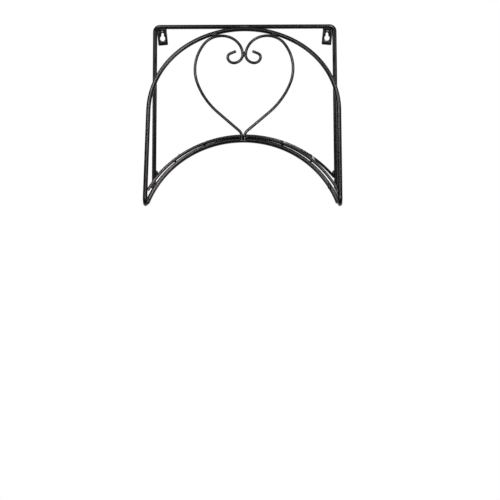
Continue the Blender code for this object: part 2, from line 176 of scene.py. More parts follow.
# View: focal length and film width in mm, place in metres, then yaw, pitch and roll in degrees
LENS = 88.884
FILM = 36
EYE = (0.05732, -1.850, -0.11289)
GAZE = (-1.5507, 6.2408, -0.1163)
CLIP_END = 50

# Lamps: name, place, side of the square and watts; all of them face one point
LAMPS = (
    ("top_left", (-0.50, -0.90, 1.18), 0.34, 8.5),
    ("top_right", (0.60, -0.90, 1.16), 0.34, 5.5),
    ("front_left", (-0.40, -1.40, 0.62), 0.34, 3.5),
    ("front_right", (0.40, -1.40, 0.64), 0.34, 10),
    ("low_left", (-1.34, -1.40, 0.06), 0.50, 4),
    ("low_right", (1.34, -1.40, 0.10), 0.50, 4),
)
LAMP_AIM = (0, -0.06, -0.11)
ROOM_LIGHT = 0.12
BACKDROP_SPAN = (0.75, 0.95)  # how far a ray points towards +Y: no white yet, then all white
WHITE = (1, 1, 1, 1)

# Floor: half its side, its middle, and the middle of the patch where its own shade shows
FLOOR_HALF = 6
FLOOR_MIDDLE = (0, 5.75, -1.3)
SHADE_MIDDLE = (0.0, 0.6, -1.3)
SHADE_SPAN = (0.25, 0.85)  # metres from there; the white grows over them
SHADE_WHITE = 0.88  # share of plain white at the patch's middle
FLOOR_COLOUR = (0.85, 0.85, 0.85, 1)
FLOOR_ROUGHNESS = 0.9
FLOOR_SPECULAR = 0.1

SIDES = (("left", -1), ("right", 1))
X_AXIS = Vector((1, 0, 0))
Y_AXIS = Vector((0, 1, 0))
Z_AXIS = Vector((0, 0, 1))

ARM_WALL = Vector((FOOT_SPREAD / 2, 0, -FOOT_DEPTH))
CORNER = Vector((CORNER_SPREAD / 2, -REACH, -FOOT_DEPTH - ARM_FALL))
BAR_CENTRE = Vector((0, WALL_LINE, BAR_HEIGHT))
CROWN_REACH = math.sqrt((2 * FRAME_HALF + SEAM) ** 2 - CROWN_DROP**2)
CROWN_TOP = BAR_CENTRE - Vector((0, CROWN_REACH, CROWN_DROP))
PANEL_FOOT = Vector((0, CORNER.y, CORNER.z))
PANEL_LENGTH = (CROWN_TOP - PANEL_FOOT).length
PANEL_UP = (CROWN_TOP - PANEL_FOOT).normalized()
PANEL_IN = PANEL_UP.cross(X_AXIS)
CROWN_S = PANEL_LENGTH - CROWN_RADIUS
NECK_HALF = HEART_HALF + SEAM / 2

FRONT_ARC_HALF = CORNER.x - FRAME_HALF
FRONT_RISE = FRONT_ARC_HEIGHT - FRONT_ARC_END
FRONT_ARC_RADIUS = (FRONT_ARC_HALF**2 + FRONT_RISE**2) / (2 * FRONT_RISE)
FRONT_ARC_S = FRONT_ARC_HEIGHT - FRONT_ARC_RADIUS
FRONT_ARC_DEPTH = HEART_HALF + FRAME_HALF + SEAM
RIM_RADIUS = FRONT_ARC_RADIUS + FRAME_HALF + ROD_HALF + SEAM + RIM_DROP - RIM_SINK
RIM_S = FRONT_ARC_S - RIM_DROP
RIM_DEPTH = HEART_HALF + ROD_HALF + SEAM


def on_panel(x, s, depth=0.0):
    """A point of the leaning front: across, up from the corners, and behind its centre lines."""
    return PANEL_FOOT + X_AXIS * x + PANEL_UP * s + PANEL_IN * depth


def on_rim(angle):
    """A point of the rim's centre line, by its angle from the top."""
    x = RIM_RADIUS * math.sin(angle)
    return on_panel(x, RIM_S + RIM_RADIUS * math.cos(angle), RIM_DEPTH)


SPLAY = (FOOT_SPREAD - BAR_LENGTH) / 2 / (FOOT_DEPTH + BAR_HEIGHT)
BACK_ARC_HALF = FOOT_SPREAD / 2 - SPLAY * BACK_ARC_END - FRAME_HALF
BACK_ARC_RISE = on_rim(0).z + FOOT_DEPTH - BACK_ARC_END
BACK_ARC_RADIUS = (BACK_ARC_HALF**2 + BACK_ARC_RISE**2) / (2 * BACK_ARC_RISE)
BACK_ARC_Z = on_rim(0).z - BACK_ARC_RADIUS


def on_back_arc(x):
    """A point of the back arc's centre line, by its distance from the middle."""
    return Vector((x, WALL_LINE, BACK_ARC_Z + math.sqrt(BACK_ARC_RADIUS**2 - x**2)))


def parts_of(geometry, kind):
    """The vertices, edges or faces among these."""
    return [piece for piece in geometry if isinstance(piece, kind)]


# Pieces

def finish_piece(name, work, material, nodes, sharp=SHARP_ANGLE):
    """Makes the mesh an object in place of these nodes; edges past the angle stay sharp."""
    bmesh.ops.remove_doubles(work, verts=work.verts, dist=TINY)
    bmesh.ops.recalc_face_normals(work, faces=work.faces)
    mesh = bpy.data.meshes.new(name)
    work.to_mesh(mesh)
    work.free()
    mesh.shade_smooth()
    mesh.set_sharp_from_angle(angle=math.radians(sharp))
    mesh.materials.append(material)
    piece = bpy.data.objects.new(name, mesh)
    bpy.context.scene.collection.objects.link(piece)
    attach(piece, "root")
    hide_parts(*nodes)


def bevel(work, corners, offset, steps, affect="EDGES"):
    """Rounds these corners or edges off."""
    bmesh.ops.bevel(
        work,
        geom=corners,
        offset=offset,
        offset_type="OFFSET",
        segments=steps,
        profile=0.5,
        affect=affect,
        material=-1,
    )


class Wire:
    """A round bar that comes out of the bender end first: fed straight on, or bent."""

    def __init__(self, start, heading, radius, sides=WIRE_SIDES):
        self.work = bmesh.new()
        self.tip = Vector(start)
        self.heading = Vector(heading).normalized()
        square = self.heading.to_track_quat("Z", "Y").to_matrix().to_4x4()
        bmesh.ops.create_circle(
            self.work,
            cap_ends=True,
            segments=sides,
            radius=radius,
            matrix=Matrix.Translation(self.tip) @ square,
        )
        self.end = self.work.faces[:]

    def feed(self, length):
        """Runs straight on."""
        if length < TINY:
            return
        grown = bmesh.ops.extrude_face_region(self.work, geom=self.end)["geom"]
        move = self.heading * length
        bmesh.ops.translate(self.work, verts=parts_of(grown, bmesh.types.BMVert), vec=move)
        self.end = parts_of(grown, bmesh.types.BMFace)
        self.tip = self.tip + move

    def bend(self, axis, radius, turn, step=PLAIN_STEP):
        """Bends on round the axis, to the right-handed side of it."""
        axis = axis.normalized()
        centre = self.tip + axis.cross(self.heading) * radius
        steps = max(1, math.ceil(math.degrees(turn) / step))
        grown = bmesh.ops.spin(
            self.work, geom=self.end, cent=centre, axis=axis, angle=turn, steps=steps
        )["geom_last"]
        self.end = parts_of(grown, bmesh.types.BMFace)
        rotation = Matrix.Rotation(turn, 3, axis)
        self.tip = centre + rotation @ (self.tip - centre)
        self.heading = rotation @ self.heading

    def through(self, corners, radius):
        """Runs on past these corners, each rounded, and ends at the last of them."""
        for corner, after in zip(corners, corners[1:]):
            ahead = (after - corner).normalized()
            turn = self.heading.angle(ahead)
            setback = radius * math.tan(turn / 2)
            self.feed((corner - self.tip).length - setback)
            self.bend(self.heading.cross(ahead), radius, turn, TIGHT_STEP)
        self.feed((corners[-1] - self.tip).length)

    def cut_ends(self, chamfer):
        """Takes the sharp edge off both cut ends."""
        caps = [face for face in self.work.faces if len(face.verts) > 4]
        rims = [edge for face in caps for edge in face.edges]
        bevel(self.work, rims, chamfer, EDGE_STEPS)


def bend_back_frame(paint):
    """Up the right upright, along the top bar and down the left one."""
    top_right = Vector((BAR_LENGTH / 2, WALL_LINE, BAR_HEIGHT))
    top_left = Vector((-BAR_LENGTH / 2, WALL_LINE, BAR_HEIGHT))
    foot_z = -FOOT_DEPTH + FRAME_HALF * (1 + ARM_FALL / REACH)
    right = Vector((FOOT_SPREAD / 2, WALL_LINE, foot_z))
    left = Vector((-FOOT_SPREAD / 2, WALL_LINE, foot_z))
    wire = Wire(right, top_right - right, FRAME_HALF)
    wire.through([top_right, top_left, left], FRAME_BEND)
    finish_piece("back_frame_wire", wire.work, paint, ["back_frame"])


def bend_front_hoop(paint):
    """Right arm, corner, upright, shoulder, crown, and the same again down to the left arm."""
    arm = (CORNER - ARM_WALL).normalized()
    start = ARM_WALL + arm * ARM_SETBACK / abs(arm.y)
    inset = CROWN_RADIUS - SHOULDER_RADIUS
    shoulder_x = inset * math.cos(SHOULDER_TURN) + SHOULDER_RADIUS
    shoulder_s = CROWN_S + inset * math.sin(SHOULDER_TURN)
    shoulder = on_panel(shoulder_x, shoulder_s)
    wire = Wire(start, arm, FRAME_HALF)
    wire.through([CORNER, shoulder], FRAME_BEND)
    wire.heading = PANEL_UP.copy()
    wire.bend(-PANEL_IN, SHOULDER_RADIUS, SHOULDER_TURN, HOOP_STEP)
    wire.bend(-PANEL_IN, CROWN_RADIUS, math.pi - 2 * SHOULDER_TURN, HOOP_STEP)
    wire.bend(-PANEL_IN, SHOULDER_RADIUS, SHOULDER_TURN, HOOP_STEP)
    left_corner = Vector((-CORNER.x, CORNER.y, CORNER.z))
    left_end = Vector((-start.x, start.y, start.z))
    wire.heading = (left_corner - wire.tip).normalized()
    wire.through([left_corner, left_end], FRAME_BEND)
    wire.cut_ends(HOOP_CHAMFER)
    finish_piece("front_hoop_wire", wire.work, paint, ["front_hoop"])


def bend_panel_arc(name, centre_s, radius, depth, half, paint):
    """An arc of the front panel, from the right upright over the top to the left one."""
    low = math.acos(FRONT_ARC_HALF / radius) - BUTT / radius
    x = radius * math.cos(low)
    start = on_panel(x, centre_s + radius * math.sin(low), depth)
    heading = PANEL_UP * math.cos(low) - X_AXIS * math.sin(low)
    wire = Wire(start, heading, half)
    wire.bend(-PANEL_IN, radius, math.pi - 2 * low, ARC_STEP)
    finish_piece(name + "_wire", wire.work, paint, [name])


def bend_saddle(paint):
    """The front arc, the thinner rim above it and the back arc."""
    arc = (FRONT_ARC_S, FRONT_ARC_RADIUS, FRONT_ARC_DEPTH, FRAME_HALF)
    bend_panel_arc("front_saddle_arc", *arc, paint)
    bend_panel_arc("front_saddle_rim", RIM_S, RIM_RADIUS, RIM_DEPTH, ROD_HALF, paint)

    low = math.acos(BACK_ARC_HALF / BACK_ARC_RADIUS) - BUTT / BACK_ARC_RADIUS
    start = on_back_arc(BACK_ARC_RADIUS * math.cos(low))
    heading = Z_AXIS * math.cos(low) - X_AXIS * math.sin(low)
    wire = Wire(start, heading, ROD_HALF)
    wire.bend(-Y_AXIS, BACK_ARC_RADIUS, math.pi - 2 * low, ARC_STEP)
    finish_piece("back_saddle_arc_wire", wire.work, paint, ["back_saddle_arc"])


def rods():
    """Each cross rod's label, its side and its angle along the rim."""
    for side_name, side in SIDES:
        for place, angle in zip(("inner", "outer"), ROD_ANGLES):
            yield f"{side_name}_{place}", side, side * math.radians(angle)


def lay_rods(paint):
    """Straight rods from the front of the back arc to the back of the rim."""
    for label, _, angle in rods():
        front = on_rim(angle)
        back = on_back_arc(front.x)
        start = back + (front - back).normalized() * BUTT
        wire = Wire(start, front - back, ROD_HALF, SLIM_SIDES)
        wire.feed((front - wire.tip).length - BUTT)
        finish_piece("rod_" + label, wire.work, paint, ["cross_rod_" + label])


def lobe_place():
    """Centre of the right lobe on the panel: it touches its twin and the arch."""
    x = NECK_HALF + LOBE_RADIUS
    inner = CROWN_RADIUS - FRAME_HALF - SEAM - HEART_HALF - LOBE_RADIUS
    return x, CROWN_S + math.sqrt(inner**2 - x**2)


def bend_heart(side_name, side, paint):
    """From the foot up the straight, round the side and lobe, and into the curl."""
    foot_centre = Vector((NECK_HALF + HEART_FOOT_BEND, FRONT_ARC_HEIGHT + HEART_FOOT_RISE))
    lobe = Vector(lobe_place())
    join = math.pi - LOBE_TURN
    inward = Vector((math.cos(join), math.sin(join)))
    side_centre = lobe - inward * (SIDE_RADIUS - LOBE_RADIUS)
    leave = join - SIDE_TURN
    outward = Vector((math.cos(leave), math.sin(leave)))
    side_end = side_centre + outward * SIDE_RADIUS
    across = side_end - foot_centre
    spare = across.length_squared - HEART_FOOT_BEND**2 - HEART_STRAIGHT**2
    lower_radius = spare / (2 * (outward.dot(across) + HEART_FOOT_BEND))
    down = foot_centre - (side_end - outward * lower_radius)
    normal = math.atan2(down.y, down.x)
    normal += math.acos((lower_radius + HEART_FOOT_BEND) / down.length)

    inwards = -PANEL_IN * side
    start = on_panel(side * NECK_HALF, FRONT_ARC_HEIGHT - HEART_FOOT_TAIL)
    wire = Wire(start, PANEL_UP, HEART_HALF, SLIM_SIDES)
    wire.feed(HEART_FOOT_RISE + HEART_FOOT_TAIL)
    wire.bend(-inwards, HEART_FOOT_BEND, -normal, FOOT_STEP)
    wire.feed(HEART_STRAIGHT)
    wire.bend(inwards, lower_radius, leave - normal)
    wire.bend(inwards, SIDE_RADIUS, SIDE_TURN)
    wire.bend(inwards, LOBE_RADIUS, LOBE_TURN, LOBE_STEP)
    for radius, turn in CURL:
        wire.bend(inwards, radius, math.radians(turn), CURL_STEP)
    wire.feed(HOOK_TAIL)
    wire.cut_ends(HEART_CHAMFER)
    name = "heart_wire_" + side_name
    finish_piece("heart_scroll_" + side_name, wire.work, paint, [name])


def cut_tab(side_name, side, paint):
    """A sheet tab: its outline, its keyhole, then its thickness and its dulled edges."""
    work = bmesh.new()
    top = BAR_HEIGHT - FRAME_HALF / 2
    bmesh.ops.create_grid(work, x_segments=1, y_segments=1, size=0.5)
    bmesh.ops.scale(work, verts=work.verts, vec=(TAB_WIDTH, top + TAB_DROP + TAB_SPARE, 1))
    bmesh.ops.translate(work, verts=work.verts, vec=(0, (top - TAB_DROP) / 2 + TAB_SPARE / 2, 0))
    lower = [vert for vert in work.verts if vert.co.y < 0]
    bevel(work, lower, TAB_CORNER, TAB_CORNER_STEPS, "VERTICES")
    lean = Matrix.Rotation(math.radians(-side * TAB_LEAN), 3, "Z")
    bmesh.ops.rotate(work, verts=work.verts, cent=(0, 0, 0), matrix=lean)
    whole = work.verts[:] + work.edges[:] + work.faces[:]
    bmesh.ops.bisect_plane(
        work, geom=whole, plane_co=(0, top, 0), plane_no=(0, 1, 0), clear_outer=True
    )
    bmesh.ops.delete(work, geom=work.faces[:], context="FACES_ONLY")

    mouth = math.asin(SLOT_HALF / KEYHOLE_HALF)
    lip = KEYHOLE_HALF * math.cos(mouth)
    straight = SLOT_RISE - SLOT_HALF - lip
    first = bmesh.ops.create_vert(work, co=(SLOT_HALF, lip, 0))["vert"]
    grown = bmesh.ops.spin(
        work,
        geom=first,
        cent=(0, 0, 0),
        axis=-Z_AXIS,
        angle=2 * (math.pi - mouth),
        steps=KEYHOLE_STEPS,
    )["geom_last"]
    grown = bmesh.ops.extrude_vert_indiv(work, verts=parts_of(grown, bmesh.types.BMVert))["verts"]
    bmesh.ops.translate(work, verts=grown, vec=(0, straight, 0))
    round_top = (0, SLOT_RISE - SLOT_HALF, 0)
    grown = bmesh.ops.spin(
        work, geom=grown, cent=round_top, axis=-Z_AXIS, angle=math.pi, steps=SLOT_STEPS
    )["geom_last"]
    grown = bmesh.ops.extrude_vert_indiv(work, verts=parts_of(grown, bmesh.types.BMVert))["verts"]
    bmesh.ops.translate(work, verts=grown, vec=(0, -straight, 0))
    bmesh.ops.remove_doubles(work, verts=work.verts, dist=TAB_TINY)

    bmesh.ops.triangle_fill(work, use_beauty=True, edges=work.edges[:], normal=(0, 0, 1))
    grown = bmesh.ops.extrude_face_region(work, geom=work.faces[:])["geom"]
    raised = parts_of(grown, bmesh.types.BMVert)
    bmesh.ops.translate(work, verts=raised, vec=(0, 0, TAB_THICKNESS))
    bmesh.ops.recalc_face_normals(work, faces=work.faces)
    rims = [edge for edge in work.edges if edge.calc_face_angle(0) > math.radians(SHARP_ANGLE)]
    rims = [edge for edge in rims if abs(edge.verts[0].co.z - edge.verts[1].co.z) < TAB_TINY]
    bevel(work, rims, TAB_EDGE, EDGE_STEPS)
    upright = Matrix.Rotation(math.pi / 2, 4, "X")
    place = Matrix.Translation((side * KEYHOLE_X, 0, 0)) @ upright
    bmesh.ops.transform(work, verts=work.verts, matrix=place)
    name = "keyhole_tab_" + side_name
    finish_piece("keyhole_plate_" + side_name, work, paint, [name], TAB_SHARP_ANGLE)


def lay_bead(name, size, centre, along, across, paint):
    """A weld bead of overlapping pools, thin at both ends, grown ring by ring."""
    long_half, radius, pools = size
    along = along.normalized()
    side = (across - along * across.dot(along)).normalized()
    turn = Matrix((side, along.cross(side), along)).transposed().to_4x4()
    rings = RINGS_PER_POOL * pools
    swell = 0.0
    travel = -1.0
    work = bmesh.new()
    for ring in range(1, rings):
        reach = -math.cos(math.pi * ring / rings)
        ripple = 1 + POOL_RISE * abs(math.sin(math.pi * pools * (reach + 1) / 2)) - POOL_DIP
        wide = radius * math.sqrt(1 - reach**2) * ripple
        if ring == 1:
            ready = bmesh.ops.create_circle(
                work,
                cap_ends=True,
                segments=BEAD_SIDES,
                radius=wide,
                matrix=Matrix.Translation((0, 0, reach * long_half)),
            )["verts"]
            end = work.faces[:]
        else:
            grown = bmesh.ops.extrude_face_region(work, geom=end)["geom"]
            ready = parts_of(grown, bmesh.types.BMVert)
            end = parts_of(grown, bmesh.types.BMFace)
            bmesh.ops.scale(work, verts=ready, vec=(wide / swell, wide / swell, 1))
            bmesh.ops.translate(work, verts=ready, vec=(0, 0, (reach - travel) * long_half))
        swell = wide
        travel = reach
    bmesh.ops.transform(work, verts=work.verts, matrix=Matrix.Translation(centre) @ turn)
    finish_piece("bead_" + name, work, paint, ["weld_" + name])


def lay_top_beads(paint):
    """Crown to top bar, lobes to arch, heart neck and tabs to top bar."""
    outward = X_AXIS.cross(CROWN_TOP - BAR_CENTRE).normalized()
    if outward.z < 0:
        outward.negate()
    place = (BAR_CENTRE + CROWN_TOP) / 2 + outward * LONG_BEAD[1] * CROWN_BEAD_LIFT
    lay_bead("crown", LONG_BEAD, place, X_AXIS, outward, paint)

    lobe = lobe_place()
    turn = math.atan2(lobe[0], lobe[1] - CROWN_S)
    reach = CROWN_RADIUS - FRAME_HALF - SEAM / 2
    for side_name, side in SIDES:
        x = side * reach * math.sin(turn)
        s = CROWN_S + reach * math.cos(turn)
        along = X_AXIS * math.cos(turn) - PANEL_UP * side * math.sin(turn)
        place = on_panel(x, s, -SMALL_BEAD[1])
        lay_bead("lobe_" + side_name, SMALL_BEAD, place, along, PANEL_IN, paint)

        place = Vector((side * KEYHOLE_X, WALL_LINE, BAR_HEIGHT - FRAME_HALF - SEAM))
        lay_bead("tab_" + side_name, TAB_BEAD, place, X_AXIS, PANEL_UP, paint)

    place = on_panel(0, lobe[1], -SMALL_BEAD[1])
    lay_bead("heart_neck", SMALL_BEAD, place, PANEL_UP, PANEL_IN, paint)


def lay_saddle_beads(paint):
    """Heart feet, front corners, rim ends, feet of the back frame, back arc and rod ends."""
    low = math.atan2(FRONT_ARC_END - FRONT_ARC_S, FRONT_ARC_HALF)
    for side_name, side in SIDES:
        outer = NECK_HALF + HEART_HALF + SPOT_BEAD[1] * HEART_FOOT_BEAD_LIFT
        place = on_panel(side * outer, FRONT_ARC_HEIGHT + FRAME_HALF, RIM_DEPTH - ROD_HALF)
        lay_bead("heart_foot_" + side_name, SPOT_BEAD, place, PANEL_UP, X_AXIS, paint)

        x = side * FRONT_ARC_RADIUS * math.cos(low)
        end = on_panel(x, FRONT_ARC_S + FRONT_ARC_RADIUS * math.sin(low), FRONT_ARC_DEPTH)
        upright = on_panel(side * CORNER.x, FRONT_ARC_END)
        inward = (upright - end).cross(PANEL_UP * side).normalized()
        place = (end + upright) / 2 + inward * MIDDLE_BEAD[1]
        lay_bead("corner_" + side_name, MIDDLE_BEAD, place, PANEL_UP, X_AXIS, paint)

        end = on_rim(side * math.asin(FRONT_ARC_HALF / RIM_RADIUS))
        upright = end + X_AXIS * side * FRAME_HALF - PANEL_IN * RIM_DEPTH
        outward = (PANEL_UP * side).cross(upright - end).normalized()
        place = (end + upright) / 2 + outward * SMALL_BEAD[1]
        lay_bead("rim_" + side_name, SMALL_BEAD, place, PANEL_UP, X_AXIS, paint)

        foot = Vector((side * ARM_WALL.x, WALL_LINE, ARM_WALL.z + FRAME_HALF))
        place = foot + Vector((0, -FRAME_HALF, 0))
        lay_bead("foot_" + side_name, SMALL_BEAD, place, X_AXIS, PANEL_UP, paint)

        low = math.acos(BACK_ARC_HALF / BACK_ARC_RADIUS)
        inward = SMALL_BEAD[1] * BACK_ARC_BEAD_LIFT
        above = (ROD_HALF + inward + inward * math.cos(low)) / math.sin(low)
        place = on_back_arc(side * BACK_ARC_HALF) + Vector((-side * inward, 0, above))
        lay_bead("back_arc_" + side_name, SMALL_BEAD, place, Z_AXIS, X_AXIS, paint)

    for label, side, angle in rods():
        aside = -X_AXIS * side * (ROD_HALF + SMALL_BEAD[1] * ROD_BEAD_LIFT)
        rise = -Z_AXIS * math.tan(angle) * aside.x
        front = on_rim(angle)
        place = front + aside + rise - Z_AXIS * ROD_HALF + Y_AXIS * SMALL_BEAD[0]
        lay_bead("front_" + label, SMALL_BEAD, place, Y_AXIS, X_AXIS, paint)
        place = on_back_arc(front.x) + aside + rise - Y_AXIS * SMALL_BEAD[0]
        lay_bead("back_" + label, SMALL_BEAD, place, Y_AXIS, X_AXIS, paint)


# Finishes

def new_group(name, inputs, outputs):
    """An empty node group with these sockets, and its two end nodes."""
    group = bpy.data.node_groups.new(name, "ShaderNodeTree")
    for label, kind, value in inputs:
        socket = group.interface.new_socket(label, in_out="INPUT", socket_type=kind)
        if value is not None:
            socket.default_value = value
    for label, kind in outputs:
        group.interface.new_socket(label, in_out="OUTPUT", socket_type=kind)
    return group, group.nodes.new("NodeGroupInput"), group.nodes.new("NodeGroupOutput")


def node(tree, kind, links=(), **settings):
    """A node with its settings; links pairs a socket with what feeds it, or with its value."""
    made = tree.nodes.new(kind)
    for name, value in settings.items():
        setattr(made, name, value)
    for socket, source in links:
        if isinstance(source, bpy.types.NodeSocket):
            tree.links.new(source, made.inputs[socket])
        else:
            made.inputs[socket].default_value = source
    return made


def noise(tree, place, scale, detail, rough):
    """A cloudy value between 0 and 1."""
    links = (("Vector", place), ("Scale", scale), ("Detail", detail), ("Roughness", rough))
    return node(tree, "ShaderNodeTexNoise", links).outputs["Fac"]


def spread(tree, value, low, high, to_low, to_high):
    """The value's range from low to high drawn out over another range."""
    links = (
        ("Value", value),
        ("From Min", low),
        ("From Max", high),
        ("To Min", to_low),
        ("To Max", to_high),
    )
    return node(tree, "ShaderNodeMapRange", links).outputs["Result"]


def blend(tree, mask, first, second):
    """The first colour where the mask is 0, the second where it is 1."""
    mix = node(tree, "ShaderNodeMix", data_type="RGBA")
    tree.links.new(mask, mix.inputs[0])
    for socket, colour in ((6, first), (7, second)):
        if isinstance(colour, bpy.types.NodeSocket):
            tree.links.new(colour, mix.inputs[socket])
        else:
            mix.inputs[socket].default_value = colour
    return mix.outputs[2]


def maths(tree, operation, first, second):
    """One operation on two values."""
    links = ((0, first), (1, second))
    return node(tree, "ShaderNodeMath", links, operation=operation).outputs["Value"]


def orange_peel_group():
    """Fine pebbling of a sprayed coat, with a slower swell under it."""
    inputs = (
        ("Place", "NodeSocketVector", None),
        ("Pebbles", "NodeSocketFloat", PEBBLES),
        ("Swell", "NodeSocketFloat", SWELL),
    )
    outputs = (("Height", "NodeSocketFloat"),)
    group, entry, leave = new_group("orange_peel", inputs, outputs)
    pebbles = noise(group, entry.outputs["Place"], entry.outputs["Pebbles"], 2.0, 0.5)
    swell = noise(group, entry.outputs["Place"], entry.outputs["Swell"], 1.0, 0.5)
    fine = spread(group, pebbles, *NOISE_SPAN, 0.0, PEBBLE_SHARE)
    slow = spread(group, swell, *NOISE_SPAN, 0.0, SWELL_SHARE)
    group.links.new(maths(group, "ADD", fine, slow), leave.inputs["Height"])
    return group


def coat_tone_group():
    """Cloudy change of colour and gloss of a satin coat."""
    inputs = (
        ("Place", "NodeSocketVector", None),
        ("Clouds", "NodeSocketFloat", CLOUDS),
        ("Deep", "NodeSocketColor", (0.0014, 0.0010, 0.0014, 1)),
        ("Pale", "NodeSocketColor", (0.0030, 0.0024, 0.0030, 1)),
        ("Glossy", "NodeSocketFloat", 0.22),
        ("Dull", "NodeSocketFloat", 0.25),
    )
    outputs = (("Color", "NodeSocketColor"), ("Roughness", "NodeSocketFloat"))
    group, entry, leave = new_group("coat_tone", inputs, outputs)
    clouds = noise(group, entry.outputs["Place"], entry.outputs["Clouds"], 4.0, 0.6)
    specks = noise(group, entry.outputs["Place"], SPECKS, 1.0, 0.5)
    mask = spread(group, clouds, *NOISE_SPAN, 0.0, 1.0)
    colour = blend(group, mask, entry.outputs["Deep"], entry.outputs["Pale"])
    group.links.new(colour, leave.inputs["Color"])
    clouded = maths(group, "MULTIPLY", mask, CLOUD_SHARE)
    specked = spread(group, specks, *NOISE_SPAN, 0.0, SPECK_SHARE)
    both = maths(group, "ADD", clouded, specked)
    dull = spread(group, both, 0.0, 1.0, entry.outputs["Glossy"], entry.outputs["Dull"])
    group.links.new(dull, leave.inputs["Roughness"])
    return group


def worn_spot_group():
    """Mask of one ragged bare spot round a centre, flat against the wall side."""
    inputs = (
        ("Place", "NodeSocketVector", None),
        ("Centre", "NodeSocketVector", (0, 0, 0)),
        ("Half Size", "NodeSocketVector", (0.0016, 1.0, 0.0010)),
    )
    outputs = (("Mask", "NodeSocketFloat"),)
    group, entry, leave = new_group("worn_spot", inputs, outputs)
    links = ((0, entry.outputs["Place"]), (1, entry.outputs["Centre"]))
    offset = node(group, "ShaderNodeVectorMath", links, operation="SUBTRACT").outputs["Vector"]
    links = ((0, offset), (1, entry.outputs["Half Size"]))
    share = node(group, "ShaderNodeVectorMath", links, operation="DIVIDE").outputs["Vector"]
    links = ((0, share),)
    distance = node(group, "ShaderNodeVectorMath", links, operation="LENGTH").outputs["Value"]
    rags = noise(group, entry.outputs["Place"], RAGS, 3.0, 0.6)
    ragged = spread(group, rags, *RAGGED_SPAN, -RAGGED, RAGGED)
    edge = maths(group, "ADD", distance, ragged)
    group.links.new(spread(group, edge, *SPOT_FADE, 1.0, 0.0), leave.inputs["Mask"])
    return group


def ripple_group():
    """Small overlapping scales of a weld under its paint."""
    inputs = (("Place", "NodeSocketVector", None), ("Scales", "NodeSocketFloat", SCALES))
    outputs = (("Height", "NodeSocketFloat"),)
    group, entry, leave = new_group("weld_ripple", inputs, outputs)
    links = (("Vector", entry.outputs["Place"]), ("Scale", entry.outputs["Scales"]))
    cells = node(group, "ShaderNodeTexVoronoi", links, feature="SMOOTH_F1").outputs["Distance"]
    lumps = noise(group, entry.outputs["Place"], LUMPS, 2.0, 0.5)
    group.links.new(maths(group, "ADD", cells, lumps), leave.inputs["Height"])
    return group


def use_group(tree, group, place, **values):
    """The group in this material, with some of its inputs set."""
    made = node(tree, "ShaderNodeGroup", node_tree=group)
    tree.links.new(place, made.inputs["Place"])
    for label, value in values.items():
        made.inputs[label.replace("_", " ")].default_value = value
    return made


def new_material(name):
    """A material with its shader, its Object coordinates and nothing linked yet."""
    made = bpy.data.materials.new(name)
    made.use_nodes = True
    tree = made.node_tree
    shader = tree.nodes["Principled BSDF"]
    shader.inputs["Specular IOR Level"].default_value = SPECULAR
    shader.inputs["Specular Tint"].default_value = SHINE_TINT
    place = tree.nodes.new("ShaderNodeTexCoord").outputs["Object"]
    return made, tree, shader, place


def bump(tree, shader, height, strength, distance):
    """Lets the height disturb the shader's normal."""
    links = (("Height", height), ("Strength", strength), ("Distance", distance))
    made = node(tree, "ShaderNodeBump", links)
    tree.links.new(made.outputs["Normal"], shader.inputs["Normal"])


def satin_paint(peel, tone):
    """The coat of all the wires."""
    made, tree, shader, place = new_material("satin_black_paint")
    coat = use_group(tree, tone, place)
    tree.links.new(coat.outputs["Color"], shader.inputs["Base Color"])
    tree.links.new(coat.outputs["Roughness"], shader.inputs["Roughness"])
    bump(tree, shader, use_group(tree, peel, place).outputs["Height"], *COAT_BUMP)
    return made


def tab_paint(peel, tone, worn, label, spots):
    """The coat of a tab, rubbed through in small spots above its slot."""
    made, tree, shader, place = new_material("tab_paint_" + label)
    values = {"Deep": (0.0010, 0.0007, 0.0010, 1), "Pale": (0.0024, 0.0019, 0.0024, 1)}
    coat = use_group(tree, tone, place, **values)
    mask = None
    for centre, half_size in spots:
        spot = use_group(tree, worn, place, Centre=centre, Half_Size=half_size).outputs["Mask"]
        mask = spot if mask is None else maths(tree, "MAXIMUM", mask, spot)
    stain = spread(tree, noise(tree, place, STAINS, 2.0, 0.6), *STAIN_SPAN, 0.0, 1.0)
    bare = blend(tree, stain, BARE_DARK, BARE_LIGHT)
    tree.links.new(blend(tree, mask, coat.outputs["Color"], bare), shader.inputs["Base Color"])
    dull = spread(tree, mask, 0.0, 1.0, coat.outputs["Roughness"], BARE_ROUGHNESS)
    tree.links.new(dull, shader.inputs["Roughness"])
    bump(tree, shader, use_group(tree, peel, place).outputs["Height"], *COAT_BUMP)
    return made


def weld_paint(peel, tone, ripple):
    """The coat over the weld beads, duller and scaly."""
    made, tree, shader, place = new_material("weld_paint")
    coat = use_group(tree, tone, place, Glossy=0.32, Dull=0.42)
    tree.links.new(coat.outputs["Color"], shader.inputs["Base Color"])
    tree.links.new(coat.outputs["Roughness"], shader.inputs["Roughness"])
    scales = use_group(tree, ripple, place).outputs["Height"]
    fine = use_group(tree, peel, place).outputs["Height"]
    height = maths(tree, "ADD", scales, maths(tree, "MULTIPLY", fine, PEEL_ON_WELDS))
    bump(tree, shader, height, *WELD_BUMP)
    return made


# Studio

